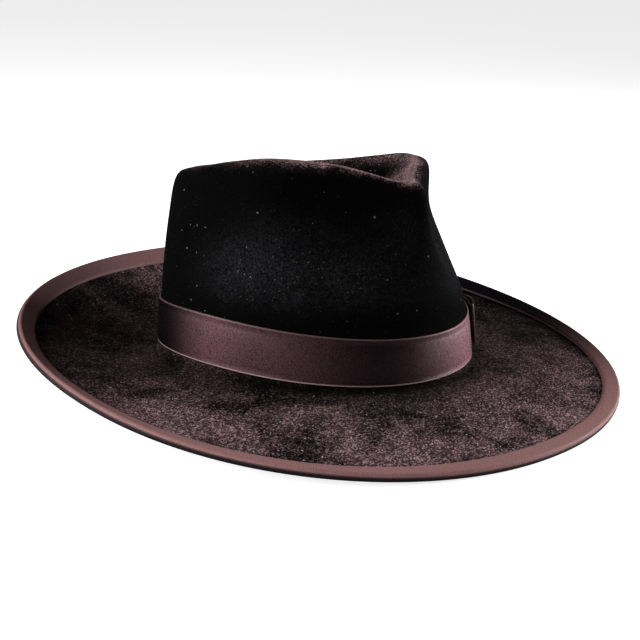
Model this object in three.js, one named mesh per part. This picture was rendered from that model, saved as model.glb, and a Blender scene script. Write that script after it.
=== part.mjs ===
// Gangster hat: soft felt crown and snapped brim, ribbon-bound edge, satin band and flat side bow.
// Millimetres, +Z up. The front of the hat looks along -Y and the wearer's left is +X.
import * as THREE from 'three';

// Felt
const feltWall = 2.2;
const clearance = 0.3;

// Foot of the crown, the oval on which the band sits
const footHalfLength = 103.7;
const footHalfWidth = 86.9;
const footSquareness = 2.05;
const footDip = 2.5;
const breakRadius = 3.2;

// Crown, heights above the foot
const crownHeight = 117;
const ridgeSideDrop = 3;
const crownShift = 1;
const crownSquareness = 2.1;
const creaseDepth = 32;
const creaseForward = 34;
const creaseSweep = 1.7;

// Dents
const pinchDepth = 30;
const hollowDepth = 7;

// Brim
const brimHalfLength = 186;
const brimHalfWidth = 174;
const brimSquareness = 2.1;
const brimForward = 4.3;
const brimFrontDrop = 23.8;
const brimSideRise = -1;
const brimBackRise = 25;
const brimSwing = 2.8;
const brimSweep = 1.45;
const curlWidth = 14;
const curlSideRise = 4.5;
const curlFrontRise = 1.5;

// Ribbon on the brim's edge
const bindingWidth = 8.5;
const bindingThickness = 1;

// Band and bow
const bandFrontHeight = 26;
const bandSideHeight = 28.6;
const bandBackHeight = 25.6;
const bandThickness = 1;
const bowAngle = 65;
const bowLength = 92;
const bowHeight = 25.5;
const bowPuff = 4.2;
const knotWidth = 13;
const ribbonThickness = 0.9;
const tailLength = 58;
const tailNotch = 9;
const knotGather = 0.84;
const loopSwell = 0.85;

// Facets and the steps of a search
const searchSteps = 30;
const smallTurn = 0.001;
const aroundCount = 80;
const brimSteps = 5;
const creaseSteps = 6;
const bowSteps = 7;

// Sections of the crown from foot to ridge: up is a share of the ridge's height at that place,
// length and width are shares of the foot's half length and half width.
const crownSections = [
  { at: 'foot', up: 0, length: 1, width: 1 },
  { at: 'low wall', up: 0.27, length: 0.977, width: 0.973 },
  { at: 'mid wall', up: 0.5, length: 0.955, width: 0.94 },
  { at: 'high wall', up: 0.72, length: 0.93, width: 0.9 },
  { at: 'shoulder', up: 0.88, length: 0.905, width: 0.86 },
  { at: 'brow', up: 0.97, length: 0.868, width: 0.8 },
  { at: 'ridge', up: 1, length: 0.8, width: 0.68 },
];

// Height of the ridge round the crown, as a share of the crown's height. Angles are in degrees
// from the front, the same on both sides.
const ridgeLine = [
  { angle: 0, height: 0.922 },
  { angle: 17, height: 0.928 },
  { angle: 38, height: 0.99 },
  { angle: 62, height: 1 },
  { angle: 90, height: 0.967 },
  { angle: 120, height: 0.922 },
  { angle: 150, height: 0.884 },
  { angle: 180, height: 0.872 },
];

// Dents, each on both sides: place and reach are shares of the foot's half length, its half width
// and the crown's height; inward, back and down are shares of the dent's named depth.
const dents = [
  {
    name: 'front pinch', depth: pinchDepth,
    forward: 0.73, side: 0.5, up: 0.75,
    reachForward: 0.32, reachSide: 0.42, reachUp: 0.3,
    inward: 0.95, back: 0.2, down: 0.05,
  },
  {
    name: 'side hollow', depth: hollowDepth,
    forward: 0.05, side: 0.9, up: 0.74,
    reachForward: 0.55, reachSide: 0.4, reachUp: 0.15,
    inward: 1, back: 0, down: 0,
  },
];

const place = (side, forward, up) => new THREE.Vector3(side, -forward, up);
const mix = (a, b, share) => a + (b - a) * share;
const smooth = (share) => share * share * (3 - 2 * share);
const radians = (degrees) => (degrees * Math.PI) / 180;
const angles = Array.from({ length: aroundCount }, (_, i) => (2 * Math.PI * i) / aroundCount);

// Radius of a squared oval, with the angle measured from the front towards the wearer's left.
function ovalRadius(angle, halfLength, halfWidth, squareness) {
  const lengthwise = Math.abs(Math.cos(angle) / halfLength) ** squareness;
  const sideways = Math.abs(Math.sin(angle) / halfWidth) ** squareness;
  return (lengthwise + sideways) ** (-1 / squareness);
}

// Height that runs smoothly round the hat through its value at the front, the sides and the back.
function aroundHeight(angle, front, side, back) {
  const second = (front + back) / 4 - side / 2;
  return side + second + ((front - back) / 2) * Math.cos(angle) + second * Math.cos(2 * angle);
}

// A value of the section table at a row number between two rows, on a smooth curve.
function alongTable(rows, column, at) {
  const i = Math.min(Math.floor(at), rows.length - 2);
  const share = at - i;
  const value = (k) => rows[Math.min(Math.max(k, 0), rows.length - 1)][column];
  const before = (value(i + 1) - value(i - 1)) / 2;
  const after = (value(i + 2) - value(i)) / 2;
  const a = 2 * value(i) - 2 * value(i + 1) + before + after;
  const b = -3 * value(i) + 3 * value(i + 1) - 2 * before - after;
  return ((a * share + b) * share + before) * share + value(i);
}

// Height of the foot's line and of the ridge round the crown
const footHeight = (angle) => -footDip * Math.cos(2 * angle);

function ridgeHeight(angle) {
  const turned = Math.abs(Math.atan2(Math.sin(angle), Math.cos(angle)));
  const degrees = (turned * 180) / Math.PI;
  const found = ridgeLine.findIndex((row) => row.angle > degrees);
  const i = found < 0 ? ridgeLine.length - 2 : found - 1;
  const share = (degrees - ridgeLine[i].angle) / (ridgeLine[i + 1].angle - ridgeLine[i].angle);
  return crownHeight * alongTable(ridgeLine, 'height', i + share);
}

// Pushes a point of the crown into the dents on its own side.
function dented(point) {
  const moved = point.clone();
  for (const dent of dents) {
    const alongForward = (-point.y / footHalfLength - dent.forward) / dent.reachForward;
    const alongUp = (point.z / crownHeight - dent.up) / dent.reachUp;
    for (const hand of [-1, 1]) {
      const alongSide = (point.x / footHalfWidth - hand * dent.side) / dent.reachSide;
      const weight = Math.exp(-(alongForward ** 2) - alongSide ** 2 - alongUp ** 2) * dent.depth;
      moved.x -= hand * dent.inward * weight;
      moved.y += dent.back * weight;
      moved.z -= dent.down * weight;
    }
  }
  return moved;
}

// Point of the crown's outside at a row number of the section table
function wallPoint(angle, at) {
  const up = alongTable(crownSections, 'up', at);
  const halfLength = footHalfLength * alongTable(crownSections, 'length', at);
  const halfWidth = footHalfWidth * alongTable(crownSections, 'width', at);
  const squareness = mix(footSquareness, crownSquareness, up);
  const radius = ovalRadius(angle, halfLength, halfWidth, squareness);
  const height = mix(footHeight(angle), ridgeHeight(angle) - ridgeSideDrop * Math.sin(angle), up);
  return place(radius * Math.sin(angle), radius * Math.cos(angle) - crownShift * up, height);
}

// Row number of the section table at which the wall is a height above the foot
function rowAtHeight(angle, height) {
  let low = 0;
  let high = crownSections.length - 1;
  for (let i = 0; i < searchSteps; i += 1) {
    const middle = (low + high) / 2;
    const reached = wallPoint(angle, middle).z - footHeight(angle);
    if (reached < height) {
      low = middle;
    } else {
      high = middle;
    }
  }
  return low;
}

// Point of the crease, where share is 1 on the ridge and 0 at the crease's lowest place
function creasePoint(angle, share) {
  const ridge = wallPoint(angle, crownSections.length - 1);
  const height = mix(crownHeight - creaseDepth, ridge.z, share ** creaseSweep);
  return place(ridge.x * share, mix(creaseForward, -ridge.y, share), height);
}

// Height of the brim's edge above the foot
function edgeHeight(angle) {
  const swing = brimSwing * Math.sin(angle);
  return aroundHeight(angle, -brimFrontDrop, brimSideRise, brimBackRise) + swing;
}

// The brim reaches from the break to the felt's edge, which the binding wraps.
function breakRadiusAt(angle) {
  return ovalRadius(angle, footHalfLength, footHalfWidth, footSquareness) + breakRadius;
}

function edgeRadiusAt(angle) {
  const trim = bindingThickness + clearance;
  return ovalRadius(angle, brimHalfLength - trim, brimHalfWidth - trim, brimSquareness);
}

// Point of the brim's upper face at a distance from the felt's edge
function brimPoint(angle, fromEdge) {
  const width = edgeRadiusAt(angle) - breakRadiusAt(angle);
  const share = Math.max(0, 1 - fromEdge / width);
  const radius = mix(breakRadiusAt(angle), edgeRadiusAt(angle), share);
  const start = footHeight(angle) - breakRadius;
  const curl = Math.max(0, 1 - fromEdge / curlWidth) ** 2;
  const curlRise = aroundHeight(angle, curlFrontRise, curlSideRise, curlSideRise);
  const height = mix(start, edgeHeight(angle), share ** brimSweep) + curlRise * curl;
  return place(radius * Math.sin(angle), radius * Math.cos(angle) + brimForward * share, height);
}

// Point of the rounded break between brim and crown, turned from 0 at the brim to 1 at the foot
function breakPoint(angle, share) {
  const foot = wallPoint(angle, 0);
  const out = breakRadius * (1 - Math.sin((share * Math.PI) / 2));
  const down = breakRadius * Math.cos((share * Math.PI) / 2);
  return place(foot.x + out * Math.sin(angle), -foot.y + out * Math.cos(angle), foot.z - down);
}

const ringOf = (pointAt) => angles.map(pointAt);

// Outward unit normals of a stack of rings that runs from the crown's top out to the brim
function ringNormals(rings) {
  return rings.map((ring, i) => ring.map((_, j) => {
    const before = rings[Math.max(i - 1, 0)][j];
    const after = rings[Math.min(i + 1, rings.length - 1)][j];
    const left = ring[(j + ring.length - 1) % ring.length];
    const right = ring[(j + 1) % ring.length];
    const outwards = after.clone().sub(before);
    return outwards.cross(right.clone().sub(left)).normalize();
  }));
}

const offsetRing = (ring, normals, distance) =>
  ring.map((point, j) => point.clone().addScaledVector(normals[j], distance));

function solid(points, faces) {
  const geometry = new THREE.BufferGeometry();
  const numbers = points.flatMap((point) => point.toArray());
  geometry.setAttribute('position', new THREE.Float32BufferAttribute(numbers, 3));
  geometry.setIndex(faces);
  geometry.computeVertexNormals();
  return geometry;
}

// Closed skin over a stack of rings. The last ring joins the first, or both ends close on a tip.
function skin(rings, tips) {
  const points = rings.flat();
  const count = rings[0].length;
  const faces = [];
  const bands = tips ? rings.length - 1 : rings.length;
  for (let i = 0; i < bands; i += 1) {
    const next = (i + 1) % rings.length;
    for (let j = 0; j < count; j += 1) {
      const k = (j + 1) % count;
      faces.push(i * count + j, next * count + j, next * count + k);
      faces.push(i * count + j, next * count + k, i * count + k);
    }
  }
  if (tips) {
    const first = points.length;
    const base = (rings.length - 1) * count;
    points.push(tips[0], tips[1]);
    for (let j = 0; j < count; j += 1) {
      const k = (j + 1) % count;
      faces.push(first, j, k);
      faces.push(first + 1, base + k, base + j);
    }
  }
  return solid(points, faces);
}

// Point of the crown's outside at the band's upper edge
function bandTop(angle) {
  const height = aroundHeight(angle, bandFrontHeight, bandSideHeight, bandBackHeight);
  return dented(wallPoint(angle, rowAtHeight(angle, height)));
}

// Rings that felt and ribbon share: the band's top and bottom, and the binding's leg
const bandTopRing = ringOf(bandTop);
const footRing = ringOf((angle) => wallPoint(angle, 0));
const legRings = [bindingWidth, bindingWidth / 2, 0].map((distance) =>
  ringOf((angle) => brimPoint(angle, distance)));

// Felt: one skin, from the crease over the crown and brim to the edge and back underneath
function upperRings() {
  const crease = Array.from({ length: creaseSteps }, (_, i) => (i + 1) / (creaseSteps + 1));
  const ridgeRow = crownSections.length - 1;
  const wallRows = [0, 0.5, 1, 1.5, 2, 3, 4].map((step) => ridgeRow - step);
  const brim = Array.from({ length: brimSteps }, (_, i) => i / brimSteps);
  const brimRing = (share) => ringOf((angle) => {
    const width = edgeRadiusAt(angle) - breakRadiusAt(angle);
    return brimPoint(angle, mix(width, bindingWidth, share));
  });
  return [
    ...crease.map((share) => ringOf((angle) => dented(creasePoint(angle, share)))),
    ...wallRows.map((at) => ringOf((angle) => dented(wallPoint(angle, at)))),
    bandTopRing,
    footRing,
    ringOf((angle) => breakPoint(angle, 0.5)),
    ...brim.map(brimRing),
    ...legRings,
  ];
}

const upper = upperRings();
const upperNormals = ringNormals(upper);
const lower = upper.map((ring, i) => offsetRing(ring, upperNormals[i], -feltWall));

function feltBody() {
  const tip = dented(creasePoint(0, 0));
  const underTip = tip.clone().setZ(tip.z - feltWall);
  return skin([...upper, ...lower.toReversed()], [tip, underTip]);
}

// Binding: a ribbon folded round the edge, two legs and a rounded nose
function brimBinding() {
  const normals = upperNormals.slice(-legRings.length);
  const upperLegs = legRings;
  const lowerLegs = lower.slice(-legRings.length);
  const inside = clearance;
  const outside = clearance + bindingThickness;
  const edge = legRings.length - 1;
  const reach = feltWall / 2 + outside;
  const outwardsAt = (j) => upperLegs[edge][j].clone().sub(upperLegs[edge - 1][j]).normalize();
  const nose = (turn) => ringOf((_, j) => {
    const middle = upperLegs[edge][j].clone().add(lowerLegs[edge][j]).multiplyScalar(0.5);
    middle.addScaledVector(outwardsAt(j), outside * Math.cos(turn));
    return middle.addScaledVector(normals[edge][j], reach * Math.sin(turn));
  });
  const corner = (legs, distance) => {
    const offset = offsetRing(legs[edge], normals[edge], distance);
    return offset.map((point, j) => point.addScaledVector(outwardsAt(j), inside));
  };
  const leg = (legs, distance) => legs.map((ring, i) => offsetRing(ring, normals[i], distance));
  const turns = [Math.PI / 4, 0, -Math.PI / 4];
  return skin([
    ...leg(upperLegs, outside),
    ...turns.map(nose),
    ...leg(lowerLegs, -outside).toReversed(),
    ...leg(lowerLegs, -inside).slice(0, edge),
    corner(lowerLegs, -inside),
    corner(upperLegs, inside),
    ...leg(upperLegs, inside).slice(0, edge).toReversed(),
  ]);
}

// Band: a ribbon ring that stands on the break and leans with the wall
const bandNormals = ringNormals([bandTopRing, footRing]);

function hatBand() {
  const outside = clearance + bandThickness;
  return skin([
    offsetRing(bandTopRing, bandNormals[0], outside),
    offsetRing(footRing, bandNormals[1], outside),
    offsetRing(footRing, bandNormals[1], clearance),
    offsetRing(bandTopRing, bandNormals[0], clearance),
  ]);
}

// Angle at a distance round the foot from the middle of the bow
function angleAlong(distance) {
  let angle = radians(bowAngle);
  for (let i = 0; i < searchSteps; i += 1) {
    const here = wallPoint(angle, 0);
    const ahead = wallPoint(angle + smallTurn, 0);
    const moved = Math.hypot(ahead.x - here.x, ahead.y - here.y);
    angle += (distance / searchSteps) * (smallTurn / moved);
  }
  return angle;
}

// Point over the band's face, given out of it, along it towards the back and up it
function overBand(out, along, up) {
  const angle = angleAlong(along);
  const foot = wallPoint(angle, 0);
  const rise = bandTop(angle).sub(foot).normalize();
  const round = wallPoint(angle + smallTurn, 0).sub(foot).normalize();
  const outwards = round.clone().cross(rise).normalize();
  return foot.addScaledVector(rise, up).addScaledVector(outwards, clearance + bandThickness + out);
}

// Ribbon between two faces of equal rows and columns of points, closed all round its border
function slab(front, back) {
  const columns = front[0].length;
  const offset = front.length * columns;
  const faces = [];
  const square = (a, b, c, d) => faces.push(a, b, c, a, c, d);
  const at = (i, j) => i * columns + j;
  for (let i = 0; i + 1 < front.length; i += 1) {
    for (let j = 0; j + 1 < columns; j += 1) {
      square(at(i, j), at(i + 1, j), at(i + 1, j + 1), at(i, j + 1));
      square(...[at(i, j), at(i, j + 1), at(i + 1, j + 1), at(i + 1, j)].map((k) => k + offset));
    }
  }
  const border = [];
  const lastRow = front.length - 1;
  const lastColumn = columns - 1;
  const walk = (length, place) => border.push(...Array.from({ length }, (_, k) => place(k)));
  walk(lastRow, (k) => at(k, 0));
  walk(lastColumn, (k) => at(lastRow, k));
  walk(lastRow, (k) => at(lastRow - k, lastColumn));
  walk(lastColumn, (k) => at(0, lastColumn - k));
  border.forEach((here, k) => {
    const next = border[(k + 1) % border.length];
    square(here, here + offset, next + offset, next);
  });
  return solid([...front, ...back].flat(), faces);
}

// Distance of a place on the bow past the knot
const pastKnot = (along, start) => Math.max(0, Math.abs(along) - start);

// The bow's ribbon is gathered under the knot, to this share of its height.
function gathered(along) {
  return mix(knotGather, 1, smooth(Math.min(1, pastKnot(along, knotWidth) / (bowLength / 4))));
}

const bowUp = (along, share) => bandSideHeight / 2 + (share - 0.5) * bowHeight * gathered(along);
const loopStart = clearance + ribbonThickness + clearance;
const loopPinched = 2 * ribbonThickness + clearance;

// Thickness of the two loops, least under the knot, more along the loop and less at its fold
function loopThickness(along) {
  const share = pastKnot(along, knotWidth / 2) / (bowLength / 2 - knotWidth / 2);
  return mix(loopPinched, bowPuff, Math.sin(loopSwell * Math.PI * share) ** 2);
}

// One ribbon: from under the knot to the front fold, back over the top to the other fold, and in
function bowLoops() {
  const fold = bowLength / 2;
  const straight = fold - 2 * ribbonThickness;
  const steps = Array.from({ length: bowSteps }, (_, i) => i / (bowSteps - 1));
  const under = (along) => [loopStart, loopStart + ribbonThickness, along, along];
  const over = (along) => {
    const out = loopStart + loopThickness(along);
    return [out, out - ribbonThickness, along, along];
  };
  const turn = (hand) => {
    const out = loopStart + loopThickness(fold) / 2;
    return [out, out, hand * fold, hand * (fold - ribbonThickness)];
  };
  const rows = [
    ...steps.map((share) => under(mix(-clearance / 2, -straight, share))),
    turn(-1),
    ...steps.map((share) => over(mix(-straight, 0, share))),
    ...steps.slice(1).map((share) => over(mix(0, straight, share))),
    turn(1),
    ...steps.map((share) => under(mix(straight, clearance / 2, share))),
  ];
  const ends = [0, 1];
  const outside = rows.map(([out, , along]) => ends.map((up) => overBand(out, along, bowUp(along, up))));
  const inside = rows.map(([, out, , along]) => ends.map((up) => overBand(out, along, bowUp(along, up))));
  return slab(outside, inside);
}

// Tail: a single ribbon under the loops, cut to a notch at its free end
function bowTail() {
  const rows = Array.from({ length: bowSteps }, (_, i) => i / (bowSteps - 1));
  const face = (out) => rows.map((share) => [0, 0.5, 1].map((up) => {
    const length = up === 0.5 ? tailLength - tailNotch : tailLength;
    return overBand(out, share * length, bowUp(share * length, up));
  }));
  return slab(face(clearance + ribbonThickness), face(clearance));
}

// Knot: a short ribbon over the loops that folds in above and below them
function bowKnot() {
  const edge = (bowHeight * knotGather) / 2 + clearance;
  const face = loopStart + loopPinched + clearance;
  const across = [-0.5, 0, 0.5].map((share) => share * knotWidth);
  const wrap = (out, reach) => [[clearance, reach], [out, reach], [out, -reach], [clearance, -reach]];
  const side = (out, reach) => wrap(out, reach).map(([away, up]) =>
    across.map((along) => overBand(away, along, bandSideHeight / 2 + up)));
  return slab(side(face + ribbonThickness, edge + ribbonThickness), side(face, edge));
}

function material(color, roughness) {
  return new THREE.MeshStandardMaterial({ color, roughness, metalness: 0 });
}

const pieces = [
  { name: 'felt_body', geometry: feltBody(), look: material('#1d1718', 0.95) },
  { name: 'brim_binding', geometry: brimBinding(), look: material('#7d6260', 0.55) },
  { name: 'hat_band', geometry: hatBand(), look: material('#4a3538', 0.45) },
  { name: 'bow_loops', geometry: bowLoops(), look: material('#4a3538', 0.45) },
  { name: 'bow_tail', geometry: bowTail(), look: material('#4a3538', 0.45) },
  { name: 'bow_knot', geometry: bowKnot(), look: material('#4a3538', 0.45) },
];

// At rest the hat stands on the front of its brim and the back of its head opening, and its swung
// brim has levelled out, so the crown leans back and to the left.
const underBinding = feltWall + clearance + bindingThickness;
const frontReach = brimHalfLength + brimForward + footHalfLength + breakRadius;
const frontFall = brimFrontDrop - curlFrontRise + underBinding - footDip - breakRadius - feltWall;
const leaning = new THREE.Group();
leaning.rotation.set(-Math.atan(frontFall / frontReach), Math.atan(brimSwing / brimHalfWidth), 0);

for (const { name, geometry, look } of pieces) {
  const mesh = new THREE.Mesh(geometry, look);
  mesh.name = name;
  leaning.add(mesh);
}

const hat = new THREE.Group();
hat.add(leaning);
const box = new THREE.Box3().setFromObject(hat, true);
const middle = box.getCenter(new THREE.Vector3());
hat.position.set(-middle.x, -middle.y, -box.min.z);

export default hat;
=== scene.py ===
# Gangster hat: soft felt crown and snapped brim, ribbon-bound edge, satin band and flat side bow.
# Metres, +Z up. The front of the hat looks along -Y and the wearer's left is +X.
import math
import bpy
import numpy as np
from mathutils import Matrix, Vector


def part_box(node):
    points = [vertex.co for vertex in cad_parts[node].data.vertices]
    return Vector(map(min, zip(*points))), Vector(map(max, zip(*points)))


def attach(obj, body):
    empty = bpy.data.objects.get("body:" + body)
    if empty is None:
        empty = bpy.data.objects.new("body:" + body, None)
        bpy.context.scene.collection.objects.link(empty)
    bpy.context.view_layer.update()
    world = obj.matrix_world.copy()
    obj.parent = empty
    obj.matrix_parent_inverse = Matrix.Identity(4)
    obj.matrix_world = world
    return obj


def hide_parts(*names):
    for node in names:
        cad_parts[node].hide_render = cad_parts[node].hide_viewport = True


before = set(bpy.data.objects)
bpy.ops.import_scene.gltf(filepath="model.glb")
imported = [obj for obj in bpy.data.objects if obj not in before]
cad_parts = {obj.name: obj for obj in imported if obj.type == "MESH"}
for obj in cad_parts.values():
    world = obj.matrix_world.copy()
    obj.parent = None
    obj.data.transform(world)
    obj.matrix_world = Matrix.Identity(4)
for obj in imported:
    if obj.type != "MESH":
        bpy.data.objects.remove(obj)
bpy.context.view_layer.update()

print("frame loaded")

# Shape of the hat, as it was worked out for the solids
shape = {
    "feltWall": 0.0022,
    "clearance": 0.0003,
    "footHalfLength": 0.1037,
    "footHalfWidth": 0.0869,
    "footSquareness": 2.05,
    "footDip": 0.0025,
    "breakRadius": 0.0032,
    "crownHeight": 0.117,
    "ridgeSideDrop": 0.003,
    "crownShift": 0.001,
    "crownSquareness": 2.1,
    "creaseDepth": 0.032,
    "creaseForward": 0.034,
    "creaseSweep": 1.7,
    "brimHalfLength": 0.186,
    "brimHalfWidth": 0.174,
    "brimSquareness": 2.1,
    "brimForward": 0.0043,
    "brimFrontDrop": 0.0238,
    "brimSideRise": -0.001,
    "brimBackRise": 0.025,
    "brimSwing": 0.0028,
    "brimSweep": 1.45,
    "curlWidth": 0.014,
    "curlSideRise": 0.0045,
    "curlFrontRise": 0.0015,
}

# Sections of the crown from foot to ridge, as shares of the ridge's height and the foot's half sizes
crownSections = [
    {"at": "foot", "up": 0, "length": 1, "width": 1},
    {"at": "low wall", "up": 0.27, "length": 0.977, "width": 0.973},
    {"at": "mid wall", "up": 0.5, "length": 0.955, "width": 0.94},
    {"at": "high wall", "up": 0.72, "length": 0.93, "width": 0.9},
    {"at": "shoulder", "up": 0.88, "length": 0.905, "width": 0.86},
    {"at": "brow", "up": 0.97, "length": 0.868, "width": 0.8},
    {"at": "ridge", "up": 1, "length": 0.8, "width": 0.68},
]

# Height of the ridge round the crown, as a share of its height, by degrees from the front
ridgeLine = [
    {"angle": 0, "height": 0.922},
    {"angle": 17, "height": 0.928},
    {"angle": 38, "height": 0.99},
    {"angle": 62, "height": 1},
    {"angle": 90, "height": 0.967},
    {"angle": 120, "height": 0.922},
    {"angle": 150, "height": 0.884},
    {"angle": 180, "height": 0.872},
]

# Dents on both sides: place and reach as shares of the foot's half sizes and the crown's height
dents = [
    {"name": "front pinch", "depth": 0.030, "forward": 0.73, "side": 0.5, "up": 0.75,
     "reachForward": 0.32, "reachSide": 0.42, "reachUp": 0.3, "inward": 0.95, "back": 0.2, "down": 0.05},
    {"name": "side hollow", "depth": 0.007, "forward": 0.05, "side": 0.9, "up": 0.74,
     "reachForward": 0.55, "reachSide": 0.4, "reachUp": 0.15, "inward": 1, "back": 0, "down": 0},
]

# Waves round the brim, for the unevenness of a felt brim that was pressed by hand
brimWaves = [
    {"count": 3, "phase": 0.6, "share": 1},
    {"count": 5, "phase": 2.1, "share": 0.6},
    {"count": 8, "phase": 4.0, "share": 0.4},
]


def mix(a, b, share):
    return a + (b - a) * share


def smooth(share):
    return share * share * (3 - 2 * share)


def place(side, forward, up):
    side, forward, up = np.broadcast_arrays(side, forward, up)
    return np.stack([side, -forward, up], axis=-1)


def unit(vectors):
    length = np.linalg.norm(vectors, axis=-1, keepdims=True)
    return vectors / np.maximum(length, 1e-12)


# Radius of a squared oval, with the angle measured from the front towards the wearer's left
def ovalRadius(angle, halfLength, halfWidth, squareness):
    lengthwise = np.abs(np.cos(angle) / halfLength) ** squareness
    sideways = np.abs(np.sin(angle) / halfWidth) ** squareness
    return (lengthwise + sideways) ** (-1 / squareness)


# Height that runs smoothly round the hat through its value at the front, the sides and the back
def aroundHeight(angle, front, side, back):
    second = (front + back) / 4 - side / 2
    return side + second + (front - back) / 2 * np.cos(angle) + second * np.cos(2 * angle)


# Column of a table at a row number between two rows, on a smooth curve
def alongTable(rows, column, at):
    values = np.array([float(row[column]) for row in rows])
    last = len(values) - 1
    i = np.clip(np.floor(at).astype(int), 0, last - 1)
    share = at - i
    here, ahead = values[i], values[i + 1]
    before = (ahead - values[np.maximum(i - 1, 0)]) / 2
    after = (values[np.minimum(i + 2, last)] - here) / 2
    a = 2 * here - 2 * ahead + before + after
    b = -3 * here + 3 * ahead - 2 * before - after
    return ((a * share + b) * share + before) * share + here


def footHeight(angle):
    return -shape["footDip"] * np.cos(2 * angle)


def ridgeHeight(angle):
    degrees = np.degrees(np.abs(np.arctan2(np.sin(angle), np.cos(angle))))
    marks = np.array([float(row["angle"]) for row in ridgeLine])
    at = np.interp(degrees, marks, np.arange(len(marks)))
    return shape["crownHeight"] * alongTable(ridgeLine, "height", at)


# How far a point of the crown lies inside a dent on one hand, 1 in its middle
def dentShare(points, dent, hand):
    forward = (-points[..., 1] / shape["footHalfLength"] - dent["forward"]) / dent["reachForward"]
    up = (points[..., 2] / shape["crownHeight"] - dent["up"]) / dent["reachUp"]
    side = (points[..., 0] / shape["footHalfWidth"] - hand * dent["side"]) / dent["reachSide"]
    return np.exp(-forward ** 2 - side ** 2 - up ** 2)


# Pushes points of the crown into the dents on their own side
def dented(points):
    moved = points.copy()
    for dent in dents:
        for hand in (-1, 1):
            weight = dentShare(points, dent, hand) * dent["depth"]
            moved[..., 0] -= hand * dent["inward"] * weight
            moved[..., 1] += dent["back"] * weight
            moved[..., 2] -= dent["down"] * weight
    return moved


# Point of the crown's outside at a row number of the section table
def wallPoint(angle, at):
    at = np.asarray(at, float)
    up = alongTable(crownSections, "up", at)
    halfLength = shape["footHalfLength"] * alongTable(crownSections, "length", at)
    halfWidth = shape["footHalfWidth"] * alongTable(crownSections, "width", at)
    squareness = mix(shape["footSquareness"], shape["crownSquareness"], up)
    radius = ovalRadius(angle, halfLength, halfWidth, squareness)
    top = ridgeHeight(angle) - shape["ridgeSideDrop"] * np.sin(angle)
    height = mix(footHeight(angle), top, up)
    return place(radius * np.sin(angle), radius * np.cos(angle) - shape["crownShift"] * up, height)


# Row number at which the wall is a height above the foot
def rowAtHeight(angle, height):
    low = np.zeros_like(angle)
    high = np.full_like(angle, len(crownSections) - 1.0)
    for _ in range(30):
        middle = (low + high) / 2
        short = wallPoint(angle, middle)[..., 2] - footHeight(angle) < height
        low, high = np.where(short, middle, low), np.where(short, high, middle)
    return low


# Point of the crease: share is 1 on the ridge and 0 at the crease's lowest place
def creasePoint(angle, share):
    ridge = wallPoint(angle, np.full_like(angle, len(crownSections) - 1.0))
    height = mix(shape["crownHeight"] - shape["creaseDepth"], ridge[..., 2], share ** shape["creaseSweep"])
    forward = mix(shape["creaseForward"], -ridge[..., 1], share)
    return place(ridge[..., 0] * share, forward, height)


def edgeHeight(angle):
    middle = aroundHeight(angle, -shape["brimFrontDrop"], shape["brimSideRise"], shape["brimBackRise"])
    return middle + shape["brimSwing"] * np.sin(angle)


def breakRadiusAt(angle):
    foot = ovalRadius(angle, shape["footHalfLength"], shape["footHalfWidth"], shape["footSquareness"])
    return foot + shape["breakRadius"]


def edgeRadiusAt(angle):
    trim = binding["thickness"] + shape["clearance"]
    halfLength, halfWidth = shape["brimHalfLength"] - trim, shape["brimHalfWidth"] - trim
    return ovalRadius(angle, halfLength, halfWidth, shape["brimSquareness"])


# Point of the brim's upper face at a distance from the felt's edge
def brimPoint(angle, fromEdge):
    start, end = breakRadiusAt(angle), edgeRadiusAt(angle)
    share = np.maximum(0, 1 - fromEdge / (end - start))
    radius = mix(start, end, share)
    curl = np.maximum(0, 1 - fromEdge / shape["curlWidth"]) ** 2
    rise = aroundHeight(angle, shape["curlFrontRise"], shape["curlSideRise"], shape["curlSideRise"])
    low = footHeight(angle) - shape["breakRadius"]
    height = mix(low, edgeHeight(angle), share ** shape["brimSweep"]) + rise * curl
    forward = radius * np.cos(angle) + shape["brimForward"] * share
    return place(radius * np.sin(angle), forward, height + brimWave(angle, share))


# Height of the brim's waves, none at its break and its edge
def brimWave(angle, share):
    waves = sum(row["share"] * np.sin(row["count"] * angle + row["phase"]) for row in brimWaves)
    return felt["wave"] * waves * share * share * (1 - share ** 6)


# Rounded break between brim and crown: share 0 at the brim, 1 at the foot
def breakPoint(angle, share):
    foot = wallPoint(angle, np.zeros_like(angle))
    out = shape["breakRadius"] * (1 - np.sin(share * math.pi / 2))
    down = shape["breakRadius"] * np.cos(share * math.pi / 2)
    forward = -foot[..., 1] + out * np.cos(angle)
    return place(foot[..., 0] + out * np.sin(angle), forward, foot[..., 2] - down)


# The hat leans at rest: it stands on the front of its brim and the back of its head opening
def leaning():
    under = shape["feltWall"] + shape["clearance"] + binding["thickness"]
    reach = shape["brimHalfLength"] + shape["brimForward"] + shape["footHalfLength"] + shape["breakRadius"]
    fall = shape["brimFrontDrop"] - shape["curlFrontRise"] + under
    fall -= shape["footDip"] + shape["breakRadius"] + shape["feltWall"]
    pitch = Matrix.Rotation(-math.atan(fall / reach), 3, "X")
    roll = Matrix.Rotation(math.atan(shape["brimSwing"] / shape["brimHalfWidth"]), 3, "Y")
    return np.array(pitch @ roll)


# Turns upright points into the frame: the lean first, then the place of the CAD band
def atRest(points):
    turned = points @ leaning().T
    return turned + restPlace


def findRestPlace():
    foot, top, out = bandFaces(ringAngles(80))
    reach = out * (shape["clearance"] + band["thickness"])
    corners = np.vstack([foot + reach, top + reach]) @ leaning().T
    low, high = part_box("hat_band")
    return (np.array(low) + np.array(high) - corners.min(axis=0) - corners.max(axis=0)) / 2


# Outward normals of a stack of rings that runs from the crown's top out to the brim
def ringNormals(rings):
    out = np.gradient(rings, axis=0)
    along = np.roll(rings, -1, axis=1) - np.roll(rings, 1, axis=1)
    return unit(np.cross(out, along))


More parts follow.
